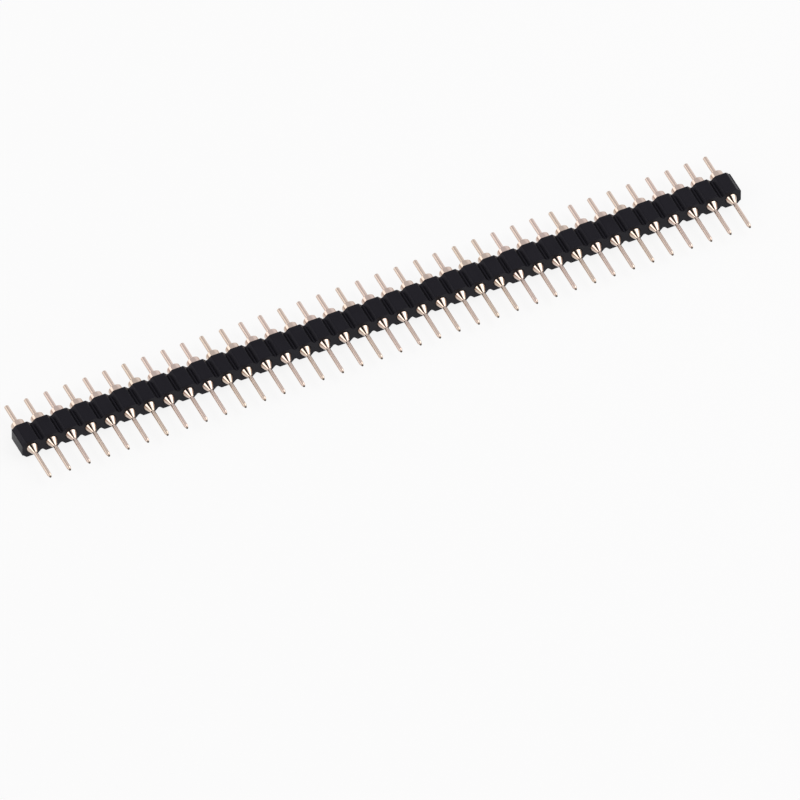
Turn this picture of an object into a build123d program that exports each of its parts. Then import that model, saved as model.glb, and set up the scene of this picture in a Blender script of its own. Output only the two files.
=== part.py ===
"""Pin header strip with turned contacts: one moulded housing that holds a single row of pins.

The strip lies on one of its two flats, the way it comes to rest on a bench. X runs along the row,
-Y is the mating side with the thin pins, +Y is the tail side with the thick pins, and +Z is up.
The origin is on the bench, under the middle of the housing.
"""

from build123d import *
import os

# ---------------------------------------------------------------------------
# Driving dimensions, in millimetres
# ---------------------------------------------------------------------------

# the row
contact_count = 37
pitch = 2.54                # from one contact's axis to the next, a tenth of an inch

# the housing
housing_depth = 3.05        # along the contacts, from the mating face to the tail face
housing_thickness = 2.54    # across the contacts, from one flat to the other
groove_depth = 0.47         # the break-off grooves between contacts, cut into both flats
groove_side = 0.43          # how far one sloping side of a groove runs along the row
groove_floor = 0.18         # the narrow flat at the bottom of a groove
mouth_chamfer = 0.05        # the lead-in around each bore, on the mating face

# the contact's barrel, which is pressed into the housing
barrel_diameter = 1.45
barrel_land = 0.7           # the full-size stretch at each end of the barrel
waist_relief = 0.05         # how far the barrel is turned down between its two lands
bore_clearance = 0.01       # between the barrel and its bore, all round

# the mating side: a cone that narrows into a thin pin with a tapered tip
cone_length = 0.90
pin_diameter = 0.50
pin_length = 4.19           # from the narrow end of the cone to the tip
tip_length = 0.42
tip_diameter = 0.22

# the tail side: a collar that seats on the housing, then a thick pin with a flat end
collar_diameter = 1.72
collar_thickness = 1.15
collar_bevel = 0.08
tail_diameter = 0.56
tail_length = 3.02
tail_bevel = 0.05

# ---------------------------------------------------------------------------
# Places worked out from the driving dimensions
# ---------------------------------------------------------------------------

mating_face = -housing_depth / 2
tail_face = housing_depth / 2
axis_height = housing_thickness / 2
bore_diameter = barrel_diameter + 2 * bore_clearance


def contact_places():
    """X of every contact's axis, evenly spaced about the middle of the strip."""
    first = -pitch * (contact_count - 1) / 2
    return [first + pitch * number for number in range(contact_count)]


def flat_outline():
    """The upper outline of the row as (x, z) points: a flat over each contact, a groove between two.

    The two ends stop in the middle of a groove, where the strip is cut from a longer one.
    """
    groove_edge = (pitch - groove_floor) / 2        # where a cell meets the floor of its groove
    flat_edge = groove_edge - groove_side           # where a cell's flat ends
    floor_height = housing_thickness - groove_depth
    points = []
    for x in contact_places():
        points += [
            (x - groove_edge, floor_height),
            (x - flat_edge, housing_thickness),
            (x + flat_edge, housing_thickness),
            (x + groove_edge, floor_height),
        ]
    half_length = pitch * contact_count / 2
    return [(-half_length, floor_height)] + points + [(half_length, floor_height)]


def make_housing():
    """The moulded strip: a grooved bar with one bore for each contact."""
    upper = flat_outline()
    lower = [(x, housing_thickness - z) for x, z in reversed(upper)]
    outline = Plane.XZ * make_face(Polyline(*upper, *lower, close=True))
    housing = extrude(outline, housing_depth / 2, both=True)

    bore = Rot(X=90) * Cylinder(bore_diameter / 2, housing_depth)
    # the lead-in opens towards -Y and ends flush with the mating face
    lead_in = Rot(X=90) * Cone(bore_diameter / 2, bore_diameter / 2 + mouth_chamfer, mouth_chamfer)
    lead_in = Pos(Y=mating_face + mouth_chamfer / 2) * lead_in
    housing -= [Pos(x, 0, axis_height) * (bore + lead_in) for x in contact_places()]
    return housing


def make_contact():
    """One turned contact about the Y axis: thin pin, cone, barrel, collar and thick tail pin."""
    pin = pin_diameter / 2
    barrel = barrel_diameter / 2
    waist = barrel - waist_relief
    collar = collar_diameter / 2
    tail = tail_diameter / 2
    cone_end = mating_face - cone_length
    tip = cone_end - pin_length
    collar_end = tail_face + collar_thickness
    tail_end = collar_end + tail_length
    profile = [
        (0, tip),
        (tip_diameter / 2, tip),
        (pin, tip + tip_length),
        (pin, cone_end),
        (barrel, mating_face),
        (barrel, mating_face + barrel_land),
        (waist, mating_face + barrel_land + waist_relief),
        (waist, tail_face - barrel_land - waist_relief),
        (barrel, tail_face - barrel_land),
        (barrel, tail_face),
        (collar - collar_bevel, tail_face),
        (collar, tail_face + collar_bevel),
        (collar, collar_end - collar_bevel),
        (collar - collar_bevel, collar_end),
        (tail, collar_end),
        (tail, tail_end - tail_bevel),
        (tail - tail_bevel, tail_end),
        (0, tail_end),
    ]
    return revolve(make_face(Polyline(*profile, close=True)), Axis.Y)


def write_step(shape, node):
    """Write one piece to its own file, named for its node."""
    shape.label = node
    export_step(shape, os.path.join("parts", node + ".step"))


os.makedirs("parts", exist_ok=True)
write_step(make_housing(), "housing")
contact = make_contact()
for number, x in enumerate(contact_places(), start=1):
    write_step(Pos(x, 0, axis_height) * contact, f"contact_{number:02d}")
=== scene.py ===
# %% [markdown]
# # A strip of turned header pins
#
# This strip is one black moulded bar with a row of metal contacts pressed through it. Each contact is
# turned from rod on a lathe: a thin pin that grows out of a polished cone on the mating side, and a
# collar with a thicker pin on the tail side. The engineering model is already right in size, but its
# edges are razor sharp. We keep its sizes and build the same pieces again with the small radii, the
# polish and the moulded skin that light needs to find.

# %% Load the frame
import math

import bpy
import numpy as np
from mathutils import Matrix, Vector


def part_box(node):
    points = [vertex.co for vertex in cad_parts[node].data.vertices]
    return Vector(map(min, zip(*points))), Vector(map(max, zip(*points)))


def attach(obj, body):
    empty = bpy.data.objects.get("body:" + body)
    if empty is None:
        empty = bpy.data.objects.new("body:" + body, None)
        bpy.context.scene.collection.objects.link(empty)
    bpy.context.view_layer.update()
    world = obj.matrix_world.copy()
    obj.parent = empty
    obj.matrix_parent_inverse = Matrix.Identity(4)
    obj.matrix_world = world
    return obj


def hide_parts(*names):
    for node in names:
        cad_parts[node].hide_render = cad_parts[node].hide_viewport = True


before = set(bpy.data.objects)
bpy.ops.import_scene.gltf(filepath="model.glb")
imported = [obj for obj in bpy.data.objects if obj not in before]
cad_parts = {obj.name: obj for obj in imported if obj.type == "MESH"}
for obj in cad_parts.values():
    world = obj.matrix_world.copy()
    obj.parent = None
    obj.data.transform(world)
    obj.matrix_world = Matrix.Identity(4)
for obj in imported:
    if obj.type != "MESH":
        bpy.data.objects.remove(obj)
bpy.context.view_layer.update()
MM = 0.001
rng = np.random.default_rng(37)

# %% [markdown]
# ## Reading the sizes off the frame
#
# No size is typed twice. A turned contact is fully described by how far each point is from its axis
# and how far along it, so its outline can be read straight from the corners of one contact in the
# frame. The bar gives up its flats, grooves and bores in the same way.

# %% Measure the contacts
contact_names = sorted(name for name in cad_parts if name.startswith("contact_"))


def corners_of(name):
    """The corner points of a CAD piece, one row of x, y, z for each."""
    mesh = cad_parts[name].data
    points = np.empty(len(mesh.vertices) * 3)
    mesh.vertices.foreach_get("co", points)
    return points.reshape(-1, 3)


def box_centre(name):
    """The middle of a CAD piece's box."""
    low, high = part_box(name)
    return (low + high) / 2


axis_x = np.array([box_centre(name).x for name in contact_names])
axis_z = box_centre(contact_names[0]).z
pitch = (axis_x[-1] - axis_x[0]) / (len(axis_x) - 1)
print(len(axis_x), "contacts,", round(pitch / MM, 3), "mm apart")


# %% Read one contact's outline
def turned_outline(name, grain=0.004 * MM, bend=math.radians(3)):
    """(radius, y) of the corners of a turned piece, from one end to the other.

    Points that lie within a grain of each other are one. They are walked in order along y, and where
    several share a y, the one whose radius is nearer to the last comes first. A point where the
    outline turns by less than the bend isn't a corner, and is left out.
    """
    points = corners_of(name) - np.array([box_centre(name).x, 0, axis_z])
    pairs = np.stack([np.hypot(points[:, 0], points[:, 2]), points[:, 1]], axis=1)
    levels = np.round(pairs[:, 1] / grain).astype(int)
    walk = [pairs[np.argmin(pairs[:, 1])]]
    for level in np.unique(levels):
        row = pairs[levels == level]
        for pair in row[np.argsort(abs(row[:, 0] - walk[-1][0]))]:
            if np.hypot(*(pair - walk[-1])) > grain:
                walk.append(pair)
    walk = np.array(walk)
    step = np.diff(walk, axis=0)
    heading = np.unwrap(np.arctan2(step[:, 1], step[:, 0]))
    corner = np.abs(np.diff(heading)) > bend
    return walk[np.concatenate([[True], corner, [True]])]


outline = turned_outline(contact_names[0])
print("contact outline, mm (radius, y):", np.round(outline / MM, 3).tolist())

# %% Measure the housing
house = corners_of("housing")
house_low, house_high = house.min(axis=0), house.max(axis=0)
half_depth = house_high[1]
half_width = (house_high[2] - house_low[2]) / 2
tiny = 0.002 * MM
at_end = abs(house[:, 0] - house_low[0]) < tiny
web_half = house[at_end, 2].max() - axis_z          # from the axis to the floor of a groove
on_flat = abs(house[:, 2] - house_high[2]) < tiny
on_floor = abs(house[:, 2] - axis_z - web_half) < tiny
cell_x = (house[:, 0] - axis_x[0]) / pitch
in_first = abs(cell_x) < 0.5 - 1e-4
flat_half = abs(house[on_flat & in_first, 0] - axis_x[0]).max()
floor_start = abs(house[on_floor & in_first, 0] - axis_x[0]).max()
from_axis = np.hypot(house[:, 0] - axis_x[0], house[:, 2] - axis_z)
bore_radius = from_axis[in_first].min()
mouth_radius = from_axis[in_first & (house[:, 1] < tiny - half_depth)].min()
print("flat", flat_half / MM, "floor", floor_start / MM, web_half / MM,
      "bore", bore_radius / MM, "mouth", mouth_radius / MM)

# %% [markdown]
# ## Corners, rounded by formula
#
# Nothing that comes out of a mould or off a lathe has a perfectly sharp edge, and the thin bright or
# dark line along an edge is what tells the eye how big a thing is. Blender's Bevel modifier could
# round them, but both pieces start from a flat outline, so it is neater to round the outline itself:
# an arc of radius r that turns through an angle t touches both sides r * tan(t / 2) from the corner.

# %% Round an outline
def rounded(points, radii, steps=4, most=0.45):
    """Round the inner corners of an open outline. Returns points and their left-hand normals.

    At each corner the arc starts r * tan(|t| / 2) before it. Its points are the arc's centre minus or
    plus r times the left-hand normal, turned by a growing share of t. An arc uses up no more than the
    given share of the shorter of its two sides, so that the arcs at both ends of a side don't meet.
    """
    points = np.asarray(points, float)
    way = np.diff(points, axis=0)
    length = np.hypot(way[:, 0], way[:, 1])
    way /= length[:, None]
    before, after = way[:-1], way[1:]
    turn = np.arctan2(before[:, 0] * after[:, 1] - before[:, 1] * after[:, 0], (before * after).sum(axis=1))
    room = most * np.minimum(length[:-1], length[1:])
    radii = np.minimum(radii, room / np.tan(np.maximum(abs(turn), 1e-6) / 2))
    start = points[1:-1] - before * (radii * np.tan(abs(turn) / 2))[:, None]
    left = np.stack([-before[:, 1], before[:, 0]], axis=1)
    side = (np.sign(turn) * radii)[:, None]
    centre = start + left * side
    angle = turn[:, None] * np.linspace(0, 1, steps)
    cos, sin = np.cos(angle), np.sin(angle)
    normal = np.stack([cos * left[:, :1] - sin * left[:, 1:], sin * left[:, :1] + cos * left[:, 1:]], axis=2)
    arc = centre[:, None, :] - side[:, None, :] * normal
    ends = np.stack([-way[[0, -1], 1], way[[0, -1], 0]], axis=1)
    new_points = np.concatenate([points[:1], arc.reshape(-1, 2), points[-1:]])
    new_normals = np.concatenate([ends[:1], normal.reshape(-1, 2), ends[1:]])
    return new_points, new_normals


square_corner, _ = rounded([(0, 0), (4, 0), (4, 4)], [1.0])
print("a square corner, rounded by 1:", np.round(square_corner, 2).tolist())


# %% Divide long sides
def divided(points, normals, longest):
    """Split each side that is longer than the limit into equal parts. Arrays in, arrays out."""
    length = np.hypot(*np.diff(points, axis=0).T)
    parts = np.maximum(1, np.ceil(length / longest)).astype(int)
    side = np.repeat(np.arange(len(parts)), parts)
    share = ((np.arange(parts.sum()) - np.repeat(np.cumsum(parts) - parts, parts)) / parts[side])[:, None]

    def along(rows):
        return np.concatenate([rows[side] + share * (rows[side + 1] - rows[side]), rows[-1:]])

    return along(points), along(normals)


halves, _ = divided(square_corner, square_corner, 1.5)
print("the same with no side over 1.5:", len(square_corner), "points become", len(halves))

# %% [markdown]
# ## The housing: one grid for each cell
#
# The bar is a row of equal cells, one around each contact. Seen from the end of its bore, a cell is a
# closed ring of points: the flat, the sloping sides and the groove floors above and below, and the
# two seams where it joins its neighbours. Every point of the ring is carried along two paths, over
# the outside from face to face, and from the face through the bore. The first path makes the skin and
# the second the faces and the bore, so one formula gives the whole moulding. Points that fall in the
# same place are then welded, and the grids close into a single shell.

# %% The ring around one cell
groove_radius = 0.03 * MM        # in the bottom corners of the grooves
edge_radius = 0.10 * MM          # along the edges of the flats
face_radius = 0.035 * MM         # around the mating and tail faces
longest_side = 0.16 * MM

upper = [(-pitch / 2, web_half), (-floor_start, web_half), (-flat_half, half_width),
         (flat_half, half_width), (floor_start, web_half), (pitch / 2, web_half)]
bends = [groove_radius, edge_radius, edge_radius, groove_radius]
top, top_normal = divided(*rounded(upper, bends, steps=6), longest_side)
seam_points = 9
share = np.linspace(1, -1, seam_points)[1:-1, None]
seam = np.concatenate([np.full_like(share, pitch / 2), share * web_half], axis=1)
ring = np.concatenate([top, seam, top[::-1] * (1, -1), seam[::-1] * (-1, 1)])
# how a ring point moves when the ring is drawn in by one unit: along its normal, and on a seam
# only up or down, so that the neighbours still meet
pull = np.concatenate([top_normal, np.concatenate([0 * share, share], axis=1),
                       top_normal[::-1] * (1, -1), np.concatenate([0 * share, share[::-1]], axis=1)])
ring_size, top_size, seam_size = len(ring), len(top), len(share)
print("ring of", ring_size, "points around each cell")

# %% Which way each point is drawn in
cells = len(axis_x)
pulls = np.repeat(pull[None], cells, axis=0)
right_end = np.arange(top_size - 1, top_size + seam_size + 1)
left_end = np.r_[np.arange(2 * top_size + seam_size - 1, ring_size), 0]
pulls[-1, right_end, 0] = 1      # the two cut ends of the strip are drawn in along the row as well
pulls[0, left_end, 0] = -1
print(cells, "cells, with", len(right_end), "points across each end of the strip")

# %% [markdown]
# ## Small radii at the faces, and sink marks
#
# Where the skin reaches a face it folds in along a quarter circle, as it does in a mould whose corner
# isn't perfectly sharp. And where a bar is thickest, the plastic shrinks most as it cools, so a flat is
# never quite flat. Both are the same move, drawing the ring in by some amount in each row, so both
# amounts are added and the ring is drawn in once. The sink is a rounded hump, a squared cosine across
# the flat times a squared cosine along it, so that it fades out before the edges.

# %% Rows from face to face
fold_steps, rows_between = 4, 9
bow = np.linspace(0, math.pi / 2, fold_steps)
fold_in = face_radius * (1 - np.sin(bow))
fold_y = half_depth - face_radius * (1 - np.cos(bow))
middle_y = np.linspace(-fold_y[-1], fold_y[-1], rows_between)[1:-1]
skin_y = np.concatenate([-fold_y, middle_y, fold_y[::-1]])
skin_in = np.concatenate([fold_in, 0 * middle_y, fold_in[::-1]])
print("rows at, mm:", np.round(skin_y / MM, 3).tolist())

# %% Sink marks on the flats
sink_depth = 0.006 * MM          # the flats sink a little over the barrels as the plastic cools
flatness = np.where(abs(abs(ring[:, 1]) - half_width) < tiny, 1.0, 0.0)
sink = sink_depth * flatness * np.cos(ring[:, 0] / flat_half * math.pi / 2) ** 2
sink = sink[:, None] * np.cos(skin_y / half_depth * math.pi / 2) ** 2
print("deepest sink mark:", round(sink.max() / MM, 4), "mm")

# %% The skin's grid
drawn_in = skin_in[None, None, :, None] + sink[None, :, :, None]
skin_xz = ring[None, :, None, :] - drawn_in * pulls[:, :, None, :]
skin_xz[..., 0] += axis_x[:, None, None]
skin_rows = np.broadcast_to(skin_y, skin_xz.shape[:3])
skin = np.stack([skin_xz[..., 0], skin_rows, skin_xz[..., 1] + axis_z], axis=3)
print("skin grid: cells, ring, rows:", skin.shape[:3])

# %% From the face through the bore
edge = ring[None] - face_radius * pulls
angle = np.arctan2(ring[:, 1], ring[:, 0])
around = np.stack([np.cos(angle), np.sin(angle)], axis=1)[None]
lead_in = mouth_radius - bore_radius
by_edge, midway = 0.96, 0.5      # a row close to the edge keeps the face flat right up to its radius
# each station: share of the way out to the edge, radius of its circle, place along the contact
stations = [(1, mouth_radius, -half_depth), (by_edge, mouth_radius, -half_depth),
            (midway, mouth_radius, -half_depth), (0, mouth_radius, -half_depth),
            (0, bore_radius, lead_in - half_depth), (0, bore_radius, 0), (0, bore_radius, half_depth),
            (midway, bore_radius, half_depth), (by_edge, bore_radius, half_depth),
            (1, bore_radius, half_depth)]
out, radius, place = np.array(stations).T
circle = around[:, :, None, :] * radius[None, None, :, None]
inner_xz = circle + (edge[:, :, None, :] - circle) * out[None, None, :, None]
inner_xz[..., 0] += axis_x[:, None, None]
inner_rows = np.broadcast_to(place, inner_xz.shape[:3])
inner = np.stack([inner_xz[..., 0], inner_rows, inner_xz[..., 1] + axis_z], axis=3)
print("bore grid: cells, ring, stations:", inner.shape[:3])

# %% [markdown]
# ## From grids to a closed shell
#
# A moulding has no seams, so neither may its mesh. Blender can merge points that lie close together,
# but here the grids meet exactly, so it is enough to round every point to a fine lattice and to keep
# one of each. Smooth shading then runs over the small radii, edges sharper than a set angle stay crisp,
# and the Weighted Normal modifier lets the large flats win over the narrow rounds beside them, so that
# a flat face catches the light as a flat face does.

# %% Helpers for meshes
def grid_quads(shape, first=0):
    """Corner numbers of the quads of a stack of grids that close on themselves along the ring.

    Quad (k, i, j) joins points i and i + 1 of grid k, the last point to the first, at rows j and j + 1.
    """
    number = first + np.arange(np.prod(shape)).reshape(shape)
    nxt = np.roll(number, -1, axis=1)
    return np.stack([number[:, :, :-1], nxt[:, :, :-1], nxt[:, :, 1:], number[:, :, 1:]], axis=3)


def shell(name, vertices, quads, sharp_angle=35):
    """A smooth-shaded object from arrays of points and four-cornered faces, with edges kept sharp
    where its faces turn by more than the angle, in degrees.

    Points that fall together are welded, and a face that has lost a side to that, as at the pole of a
    turned piece, becomes a triangle.
    """
    keys = np.round(vertices / (1e-5 * MM)).astype(np.int64)
    _, first, index = np.unique(keys, axis=0, return_index=True, return_inverse=True)
    used, faces = np.unique(index.reshape(-1)[quads], return_inverse=True)
    faces = faces.reshape(-1, 4)
    first_pole, last_pole = faces[:, 0] == faces[:, 1], faces[:, 2] == faces[:, 3]
    triangles = np.concatenate([faces[first_pole][:, [0, 2, 3]], faces[last_pole][:, :3]])
    mesh = bpy.data.meshes.new(name)
    squares = faces[~(first_pole | last_pole)]
    mesh.from_pydata(vertices[first[used]], [], squares.tolist() + triangles.tolist())
    mesh.shade_smooth()
    mesh.set_sharp_from_angle(angle=math.radians(sharp_angle))
    piece = bpy.data.objects.new(name, mesh)
    bpy.context.scene.collection.objects.link(piece)
    level = piece.modifiers.new("flats stay flat", "WEIGHTED_NORMAL")
    level.keep_sharp = True
    return piece


# %% Close the housing
# the seams between two cells are inside the bar, so only the outer sides and the two ends get a skin
skin_quads = grid_quads(skin.shape[:3])
outside = np.zeros((cells, ring_size), bool)
outside[:, :top_size - 1] = True
outside[:, top_size + seam_size:2 * top_size + seam_size - 1] = True
outside[-1, right_end[:-1]] = True
outside[0, left_end[:-1]] = True
skin_quads = skin_quads[outside].reshape(-1, 4)
inner_quads = grid_quads(inner.shape[:3], first=skin[..., 0].size)[..., ::-1].reshape(-1, 4)
housing = shell("housing_moulding", np.concatenate([skin.reshape(-1, 3), inner.reshape(-1, 3)]),
                np.concatenate([skin_quads, inner_quads]))
print("housing:", len(housing.data.vertices), "points,", len(housing.data.polygons), "faces")

# %% [markdown]
# ## The contacts: lathe work
#
# A real contact is cut on an automatic lathe, and so is this one: its outline is rounded where the
# tool leaves a radius, then carried round the axis. Each contact is a piece of its own, because each
# one really is, and each gets a slightly different shade of plating, since they are barrel plated
# loose, before they are pressed into the bar.
#
# Two places on the outline matter later on, the narrow end of the cone and the outer face of the
# collar. They could be counted off by hand, but it is safer to find them by what they are: the place
# where the outline widens for the second time, and the place with the deepest step inwards.

# %% Find the cone and the collar
widening = np.diff(outline[:, 0])
narrow_end = np.flatnonzero(widening > tiny)[1]      # the tip widens first, then the cone
collar_face = np.argmin(widening) + 1                # from the collar down to the tail pin
tip_end, cone_top, collar_end = outline[[0, narrow_end, collar_face], 1]
print("tip at", round(tip_end / MM, 3), "cone from", round(cone_top / MM, 3),
      "collar to", round(collar_end / MM, 3), "mm")

# %% Round one outline
tool_radius = 0.03 * MM          # what the turning tool leaves in every corner
root_radius = 0.10 * MM          # the softer corner where the cone runs into the thin pin
longest_turned = 0.25 * MM
around_steps = 48

corner_radius = np.full(len(outline), tool_radius)
corner_radius[narrow_end] = root_radius
closed = np.concatenate([[[0, outline[0, 1]]], outline, [[0, outline[-1, 1]]]])
turned, _ = rounded(closed, corner_radius, steps=4)
turned, _ = divided(turned, turned, longest_turned)
print("outline of", len(turned), "points")


# %% Carry it round the axis
def revolve(name, profile, x, steps):
    """Carry an outline of (radius, y) round an axis that runs along Y at x and the contacts' height.

    Point (i, j) lies at radius i from the axis, turned by j shares of a full circle, at y of i. The
    first and last outline points are on the axis, so their rings weld into the two poles.
    """
    turn = np.linspace(0, 2 * math.pi, steps, endpoint=False)
    across = profile[:, :1] * np.sin(turn) + x
    up = profile[:, :1] * np.cos(turn) + axis_z
    along = np.broadcast_to(profile[:, 1:], across.shape)
    points = np.stack([across, along, up], axis=2)[None].swapaxes(1, 2)
    return shell(name, points.reshape(-1, 3), grid_quads(points.shape[:3]).reshape(-1, 4))


contacts = [revolve(f"turned_contact_{number:02d}", turned, x, around_steps)
            for number, x in enumerate(axis_x, start=1)]
print(len(contacts), "contacts of", len(contacts[0].data.polygons), "faces")

# %% [markdown]
# ## Finishes
#
# A finish in Blender is a small chain of nodes that ends in the Principled shader. Both finishes here
# could be one flat colour, and from across a room they are. Close to, neither is even: moulded plastic
# has a grain, and turned metal has fine rings. Both patterns are worked out from each piece's own
# Object coordinates, so they need no picture files and stay put when the piece moves.

# %% Helpers for materials
def new_material(name):
    """An empty material. Returns it with its nodes and its Principled shader."""
    material = bpy.data.materials.new(name)
    material.use_nodes = True
    nodes = material.node_tree.nodes
    return material, nodes, nodes["Principled BSDF"]


def add_node(material, kind, **settings):
    """A node of one kind. Settings that name an input set that input, and the rest are properties."""
    node = material.node_tree.nodes.new(kind)
    for key, value in settings.items():
        if key in node.inputs:
            node.inputs[key].default_value = value
        else:
            setattr(node, key, value)
    return node


def join(material, source, target):
    """Link one socket to another."""
    material.node_tree.links.new(source, target)


# %% Helpers for patterns
def noise(material, where, scale, detail):
    """A noise pattern on the coordinates it is given. On metres, scale is in patterns per metre."""
    node = add_node(material, "ShaderNodeTexNoise", Scale=scale, Detail=detail, Roughness=0.5)
    join(material, where, node.inputs["Vector"])
    return node.outputs["Fac"]


def ranged(material, source, low, high, from_low=0.3, from_high=0.7):
    """Stretch a pattern's middle range on to low..high."""
    node = add_node(material, "ShaderNodeMapRange")
    for socket, value in zip(("From Min", "From Max", "To Min", "To Max"), (from_low, from_high, low, high)):
        node.inputs[socket].default_value = value
    join(material, source, node.inputs["Value"])
    return node.outputs["Result"]


def bump(material, height, shader, strength, distance):
    """Tilt a shader's light by the slope of a height pattern."""
    node = add_node(material, "ShaderNodeBump", Strength=strength, Distance=distance)
    join(material, height, node.inputs["Height"])
    join(material, node.outputs["Normal"], shader.inputs["Normal"])


# %% [markdown]
# ## Black moulded plastic
#
# The bar is a glass-filled engineering plastic: nearly black, matt, with a faint grain where the mould
# was spark-eroded. Almost all the light that it returns is a weak gloss, so its colour is kept close to
# black and its gloss does the work. That gloss is set weaker than the shader's usual level, with a
# trace of violet, because that is how the real bar looks. A slow cloud of noise varies the colour and
# the roughness by a trace, and a fine one is the grain, as a bump, because it is far too small to model.

# %% Mix the plastic
deep_black, grey_black = (0.0014, 0.0013, 0.0020, 1), (0.0022, 0.0020, 0.0030, 1)
least_rough, most_rough = 0.36, 0.44
weak_gloss, violet_gloss = 0.19, (0.82, 0.78, 1.0, 1)
clouds_per_metre, grains_per_metre = 400, 22000

plastic, nodes, shader = new_material("black glass-filled plastic")
place = add_node(plastic, "ShaderNodeTexCoord").outputs["Object"]
cloud = noise(plastic, place, clouds_per_metre, detail=4)
grain = noise(plastic, place, grains_per_metre, detail=2)
mix = add_node(plastic, "ShaderNodeMix", data_type="RGBA")
mix.inputs["A"].default_value, mix.inputs["B"].default_value = deep_black, grey_black
join(plastic, ranged(plastic, cloud, 0, 1), mix.inputs["Factor"])
join(plastic, mix.outputs["Result"], shader.inputs["Base Color"])
join(plastic, ranged(plastic, cloud, least_rough, most_rough), shader.inputs["Roughness"])
shader.inputs["Specular IOR Level"].default_value = weak_gloss
shader.inputs["Specular Tint"].default_value = violet_gloss
bump(plastic, grain, shader, strength=0.25, distance=0.004 * MM)
print(plastic.name, "is made of", len(nodes), "nodes")

# %% [markdown]
# ## Pale gold plating
#
# The contacts are a copper alloy with a very thin pale gold over nickel. Metal has no colour of its
# own but the tint of its reflections, so what matters is how tightly it reflects: the cones, barrels
# and collars are burnished, and the pins are softer. The very end of the thin pin is different again:
# it is dull and dark, as an end is where a turned piece was parted from its rod.
#
# Three materials could do this, but one contact is one piece of metal. So there is one material, and
# each mesh carries three numbers on its points, the shade, the polish and the cut end, which Attribute
# nodes read. The lathe's fine rings are noise on coordinates that are stretched, so that the pattern
# changes quickly along the contact and hardly at all across it.

# %% Colour of the plating
red_gold, yellow_gold = (0.66, 0.53, 0.465, 1), (0.65, 0.535, 0.44, 1)
parted_metal = (0.10, 0.075, 0.055, 1)

plating, nodes, shader = new_material("pale gold plating")
shader.inputs["Metallic"].default_value = 1.0
shade, polish, cut = [add_node(plating, "ShaderNodeAttribute", attribute_name=name).outputs["Fac"]
                      for name in ("plating_shade", "polish", "cut_end")]
mix = add_node(plating, "ShaderNodeMix", data_type="RGBA")
mix.inputs["A"].default_value, mix.inputs["B"].default_value = red_gold, yellow_gold
join(plating, shade, mix.inputs["Factor"])
bare = add_node(plating, "ShaderNodeMix", data_type="RGBA")
bare.inputs["B"].default_value = parted_metal
join(plating, cut, bare.inputs["Factor"])
join(plating, mix.outputs["Result"], bare.inputs["A"])
join(plating, bare.outputs["Result"], shader.inputs["Base Color"])
print(plating.name, "so far is made of", len(nodes), "nodes")

# %% Polish and turning marks
soft, burnished, dull = 0.30, 0.10, 0.45             # roughness of pins, cones and cut ends
across_marks, along_marks = 1500, 32000              # patterns per metre

rough = add_node(plating, "ShaderNodeMix", data_type="FLOAT")
rough.inputs["B"].default_value = dull
join(plating, cut, rough.inputs["Factor"])
join(plating, ranged(plating, polish, soft, burnished, 0, 1), rough.inputs["A"])
join(plating, rough.outputs["Result"], shader.inputs["Roughness"])
stretched = add_node(plating, "ShaderNodeVectorMath", operation="MULTIPLY")
join(plating, add_node(plating, "ShaderNodeTexCoord").outputs["Object"], stretched.inputs[0])
stretched.inputs[1].default_value = (across_marks, along_marks, across_marks)
marks = noise(plating, stretched.outputs["Vector"], 1.0, detail=2)
bump(plating, marks, shader, strength=0.2, distance=0.0012 * MM)
print(plating.name, "is made of", len(nodes), "nodes")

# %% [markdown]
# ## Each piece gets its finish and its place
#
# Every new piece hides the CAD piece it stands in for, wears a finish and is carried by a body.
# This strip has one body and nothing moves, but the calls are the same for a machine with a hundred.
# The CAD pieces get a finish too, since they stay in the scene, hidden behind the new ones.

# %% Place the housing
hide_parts("housing")
housing.data.materials.append(plastic)
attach(housing, "root")
print(housing.name, "rides on root")


# %% Place the contacts
def set_attribute(piece, name, values):
    """Store one number for each point of a piece's mesh."""
    layer = piece.data.attributes.new(name, "FLOAT", "POINT")
    layer.data.foreach_set("value", np.broadcast_to(values, len(piece.data.vertices)).astype(np.float32))


polish_lead = 0.10 * MM          # the burnishing starts this far out on the thin pin
polish_end = 0.02 * MM           # and stops this far past the collar
cut_depth = 0.035 * MM           # how far the parted end reaches up the tip
for node, contact in zip(contact_names, contacts):
    points = np.empty(len(contact.data.vertices) * 3)
    contact.data.vertices.foreach_get("co", points)
    along = points[1::3]
    set_attribute(contact, "polish", (along > cone_top - polish_lead) & (along < collar_end + polish_end))
    set_attribute(contact, "cut_end", along < tip_end + cut_depth)
    set_attribute(contact, "plating_shade", rng.uniform(0, 1))
    contact.data.materials.append(plating)
    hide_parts(node)
    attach(contact, "root")
print(len(contacts), "contacts ride on root")

# %% Dress the CAD pieces
for name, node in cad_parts.items():
    node.data.materials.clear()
    node.data.materials.append(plastic if name == "housing" else plating)
print(len(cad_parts), "CAD pieces have a finish")

# %% [markdown]
# ## The floor
#
# The strip lies on plain white paper, seen almost white but with a soft shadow on it. Lamps bright
# enough to bring real paper to white would burn out the metal. So the paper has two sides to it. To
# light that bounces off it, it is ordinary matt paper. To an eye, straight, in a reflection or through
# glass, it is mostly an even glow just under white, with a tenth of the lit paper left in to hold the
# shadow. The Light Path node tells the two apart.

# %% Lay the floor
floor_mesh = bpy.data.meshes.new("floor")
reach = 2.5                      # metres each way
floor_mesh.from_pydata([(-reach, -reach, 0), (reach, -reach, 0), (reach, reach, 0), (-reach, reach, 0)], [],
                       [(0, 1, 2, 3)])
floor = bpy.data.objects.new("floor", floor_mesh)
bpy.context.scene.collection.objects.link(floor)
floor.location.z = -0.01 * MM    # a hair below the strip, so that the two don't share a plane
print("floor", 2 * reach, "m square")

# %% White paper and its glow
paper_white, paper_rough = (0.93, 0.93, 0.93, 1), 0.9
glow_white = (0.965, 0.965, 0.965, 1)

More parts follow.
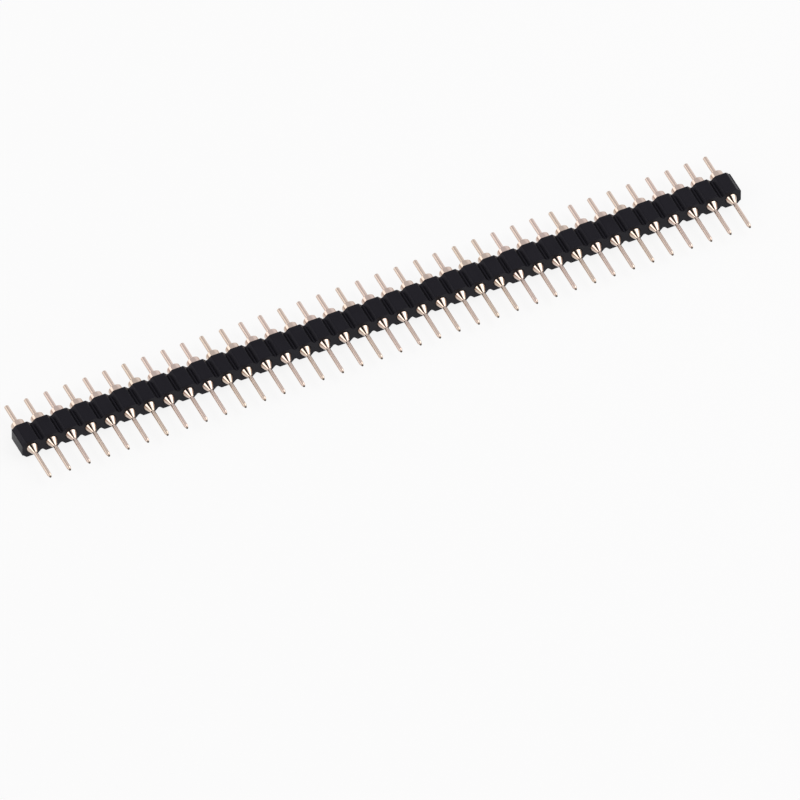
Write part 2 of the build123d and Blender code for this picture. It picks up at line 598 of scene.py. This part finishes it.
paper, nodes, shader = new_material("white paper")
shader.inputs["Base Color"].default_value = paper_white
shader.inputs["Roughness"].default_value = paper_rough
shader.inputs["Specular IOR Level"].default_value = 0.0
glow = add_node(paper, "ShaderNodeEmission", Color=glow_white, Strength=1.0)
print(paper.name, "so far is made of", len(nodes), "nodes")

# %% Who sees the glow
glow_share = 0.90                # the rest of what an eye sees is the lit paper, with its shadow
path = add_node(paper, "ShaderNodeLightPath").outputs
seen = path["Is Camera Ray"]
for other_way in ("Is Glossy Ray", "Is Transmission Ray"):
    either = add_node(paper, "ShaderNodeMath", operation="ADD", use_clamp=True)
    join(paper, seen, either.inputs[0])
    join(paper, path[other_way], either.inputs[1])
    seen = either.outputs[0]
part_glow = add_node(paper, "ShaderNodeMath", operation="MULTIPLY")
join(paper, seen, part_glow.inputs[0])
part_glow.inputs[1].default_value = glow_share
blend = add_node(paper, "ShaderNodeMixShader")
join(paper, part_glow.outputs[0], blend.inputs["Fac"])
join(paper, shader.outputs["BSDF"], blend.inputs[1])
join(paper, glow.outputs["Emission"], blend.inputs[2])
join(paper, blend.outputs["Shader"], nodes["Material Output"].inputs["Surface"])
floor_mesh.materials.append(paper)
print(paper.name, "is made of", len(nodes), "nodes")

# %% [markdown]
# ## The lamps
#
# Small round metal parts show the whole room in their sides, so the room is part of the finish. Where
# a lamp stands decides which strip of a cone turns bright. Three softboxes do it: a wide one on the
# right, a lower one on the left, and a low one at the back that picks out the collars. A softbox is
# given by the direction it stands in and by its brightness rather than its power, because brightness is
# what a mirror shows, and it stays the same when the box is made larger.

# %% Softboxes
warm_white = (1.0, 0.98, 0.93)


def softbox(name, direction, distance, size, brightness):
    """A rectangular lamp that faces the strip. Its power gives the brightness asked for.

    An area light's brightness is its power over pi times its area, so the power is that turned round.
    """
    lamp = bpy.data.lights.new(name, "AREA")
    lamp.shape, lamp.size, lamp.size_y = "RECTANGLE", *size
    lamp.energy = brightness * math.pi * size[0] * size[1]
    lamp.color = warm_white
    holder = bpy.data.objects.new(name, lamp)
    bpy.context.scene.collection.objects.link(holder)
    away = Vector(direction).normalized()
    holder.location = away * distance
    holder.rotation_euler = away.to_track_quat("Z", "Y").to_euler()
    holder.visible_camera = False
    print(name, round(lamp.energy, 2), "W")


softbox("right softbox", (0.72, -0.05, 0.70), 0.7, (0.7, 0.7), 1.9)
softbox("left softbox", (-0.84, -0.17, 0.50), 0.7, (0.42, 0.32), 1.8)
softbox("low back softbox", (-0.72, 0.60, 0.34), 0.75, (0.45, 0.35), 1.0)

# %% [markdown]
# ## The room
#
# Between the lamps the metal shows the room itself. An even grey world would make the cones look flat.
# A real studio has a dark gap between its lamps, and here a dark round patch overhead draws the fine
# dark line down every cone, while the far right corner is a little brighter. Each patch is one
# dot product, of the direction looked in with the patch's own, faded between two angles. Patches
# multiply, as filters do, so their order doesn't matter.

# %% Helpers for the room
world = bpy.data.worlds.new("room")
bpy.context.scene.world = world
world.use_nodes = True
nodes, links = world.node_tree.nodes, world.node_tree.links
toward = nodes.new("ShaderNodeTexCoord").outputs["Generated"]


def patch(direction, inner, outer, inside, outside):
    """A soft round patch of the room: one brightness inside its inner angle, another outside its outer."""
    near = nodes.new("ShaderNodeVectorMath")
    near.operation = "DOT_PRODUCT"
    links.new(toward, near.inputs[0])
    near.inputs[1].default_value = Vector(direction).normalized()
    fade = nodes.new("ShaderNodeMapRange")
    fade.interpolation_type = "SMOOTHSTEP"
    values = (math.cos(math.radians(outer)), math.cos(math.radians(inner)), outside, inside)
    for socket, value in zip(("From Min", "From Max", "To Min", "To Max"), values):
        fade.inputs[socket].default_value = value
    links.new(near.outputs["Value"], fade.inputs["Value"])
    return fade.outputs["Result"]


def times(one, other):
    """The product of two brightnesses."""
    node = nodes.new("ShaderNodeMath")
    node.operation = "MULTIPLY"
    links.new(one, node.inputs[0])
    links.new(other, node.inputs[1])
    return node.outputs[0]


# %% Light the room
sky = nodes["Background"]
sky.inputs["Color"].default_value = (0.97, 0.96, 1.0, 1)
overhead_gap = patch((-0.33, -0.42, 0.845), 18, 25, 0.02, 0.75)
bright_corner = patch((0.79, 0.60, 0.13), 15, 45, 1.35, 1.0)
links.new(times(overhead_gap, bright_corner), sky.inputs["Strength"])
print("the room is made of", len(nodes), "nodes")

# %% [markdown]
# ## The camera
#
# A long lens from far away keeps the whole row the same size from end to end. An orthographic camera
# would do nearly the same, but a real lens is never quite without perspective. The camera is placed by
# two angles and a distance, and the distance follows from how much of the scene has to fit across it.

# %% Place the camera
azimuth, elevation = math.radians(-25.6), math.radians(48.2)
view_width = 94.43 * MM
lens, sensor_width = 1600.0, 36.0                    # millimetres
look_at = Vector((-0.560, -7.345, -6.230)) * MM

back = Vector((math.sin(azimuth) * math.cos(elevation), -math.cos(azimuth) * math.cos(elevation),
               math.sin(elevation)))
camera = bpy.data.cameras.new("camera")
camera.lens, camera.sensor_width = lens, sensor_width
distance = view_width * lens / sensor_width
camera.clip_start, camera.clip_end = 0.1, 4 * distance
eye = bpy.data.objects.new("camera", camera)
bpy.context.scene.collection.objects.link(eye)
eye.location = look_at + back * distance
eye.rotation_mode = "QUATERNION"
eye.rotation_quaternion = back.to_track_quat("Z", "Y")
bpy.context.scene.camera = eye
bpy.context.scene.view_settings.view_transform = "Standard"
print("camera", round(distance, 3), "m away")
